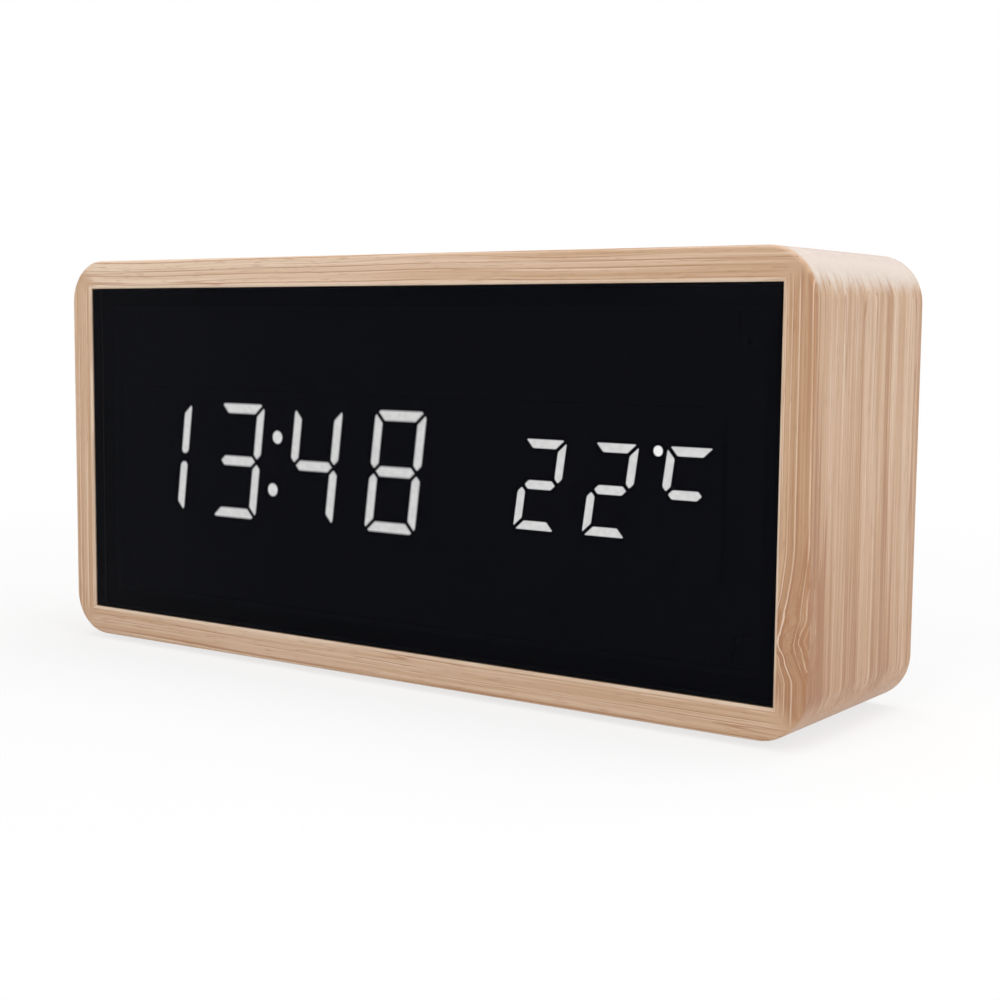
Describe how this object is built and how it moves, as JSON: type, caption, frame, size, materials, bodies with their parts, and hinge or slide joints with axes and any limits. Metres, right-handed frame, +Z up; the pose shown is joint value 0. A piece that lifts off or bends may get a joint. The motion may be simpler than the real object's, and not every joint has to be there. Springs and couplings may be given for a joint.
{
  "type": "digital led desk clock",
  "caption": "Bamboo-cased digital LED desk clock with a smoked window, lit time and temperature digits, rear push-buttons, a hinged battery door and a small power socket.",
  "frame": {"origin": "on the table under the middle of the clock, at the undersides of the feet", "axes": "+Z up, +X to the right as the clock is read, +Y from the front window to the rear cover"},
  "size_m": [0.15, 0.038, 0.07],
  "materials": {
    "bamboo_rail": "oiled bamboo, grain along the clock",
    "bamboo_side": "oiled bamboo, upright grain",
    "foot_rubber": "matt",
    "smoked_acrylic": "polished smoked acrylic",
    "black_tape": "foam tape",
    "black_carrier": "fine matt",
    "lit_diffuser": "cast diffuser, lit",
    "dark_diffuser": "cast diffuser behind dark film",
    "led_white": "cast",
    "board_green": "solder mask",
    "zinc_screw": "zinc plated",
    "chip_black": "moulded",
    "bright_steel": "nickel plated",
    "capacitor_sleeve": "shrink sleeve",
    "part_black": "moulded",
    "header_white": "moulded",
    "cable_grey": "soft jacket",
    "cover_black": "fine spark texture",
    "button_black": "satin",
    "plunger_ivory": "moulded",
    "cell_jacket": "plain printed jacket",
    "wire_red": "soft jacket",
    "wire_black": "soft jacket"
  },
  "bodies": {
    "clock_body": {"top_panel": "bamboo_rail", "bottom_panel": "bamboo_rail", "left_panel": "bamboo_side", "right_panel": "bamboo_side", "feet": "foot_rubber", "front_window": "smoked_acrylic", "window_tape": "black_tape", "display_carrier": "black_carrier", "reflector_plate": "black_carrier", "time_segments_lit": "lit_diffuser", "time_segments_unlit": "dark_diffuser", "colon_dots": "lit_diffuser", "temperature_segments_lit": "lit_diffuser", "temperature_segments_unlit": "dark_diffuser", "degree_dot": "lit_diffuser", "segment_leds": "led_white", "display_board": "board_green", "display_board_screws": "zinc_screw", "clock_controller": "chip_black", "led_driver": "chip_black", "crystal": "bright_steel", "filter_capacitor": "capacitor_sleeve", "chip_resistors": "chip_black", "buzzer": "part_black", "cell_holder": "part_black", "backup_cell": "bright_steel", "temperature_sensor": "chip_black", "display_ribbon_socket": "header_white", "battery_lead_socket": "header_white", "key_ribbon_socket": "header_white", "ribbon_cable": "cable_grey", "power_lead": "cable_grey", "rear_cover": "cover_black", "rear_screws": "zinc_screw", "aaa_cell_1": "cell_jacket", "aaa_cell_2": "cell_jacket", "aaa_cell_3": "cell_jacket", "battery_plates": "bright_steel", "battery_springs": "bright_steel", "battery_wire_red": "wire_red", "battery_wire_black": "wire_black", "switch_bodies": "part_black", "key_board": "board_green", "key_board_screws": "zinc_screw", "usb_socket_shell": "bright_steel", "usb_socket_tongue": "part_black", "power_board": "board_green"},
    "set_key": {"set_button": "button_black", "set_plunger": "plunger_ivory"},
    "up_key": {"up_button": "button_black", "up_plunger": "plunger_ivory"},
    "down_key": {"down_button": "button_black", "down_plunger": "plunger_ivory"},
    "bay_door": {"battery_door": "cover_black"}
  },
  "joints": [
    {"name": "set_press", "type": "slide", "parent": "clock_body", "child": "set_key", "axis": [0, -1, 0], "range_m": [0, 0.0003], "stiffness_N_per_m": 400},
    {"name": "up_press", "type": "slide", "parent": "clock_body", "child": "up_key", "axis": [0, -1, 0], "range_m": [0, 0.0003], "stiffness_N_per_m": 400},
    {"name": "down_press", "type": "slide", "parent": "clock_body", "child": "down_key", "axis": [0, -1, 0], "range_m": [0, 0.0003], "stiffness_N_per_m": 400},
    {"name": "battery_door_hinge", "type": "hinge", "parent": "clock_body", "child": "bay_door", "pos_m": [-0.06035, 0.0163, 0.0355], "axis": [0, 0, 1], "range_deg": [0, 90]}
  ]
}
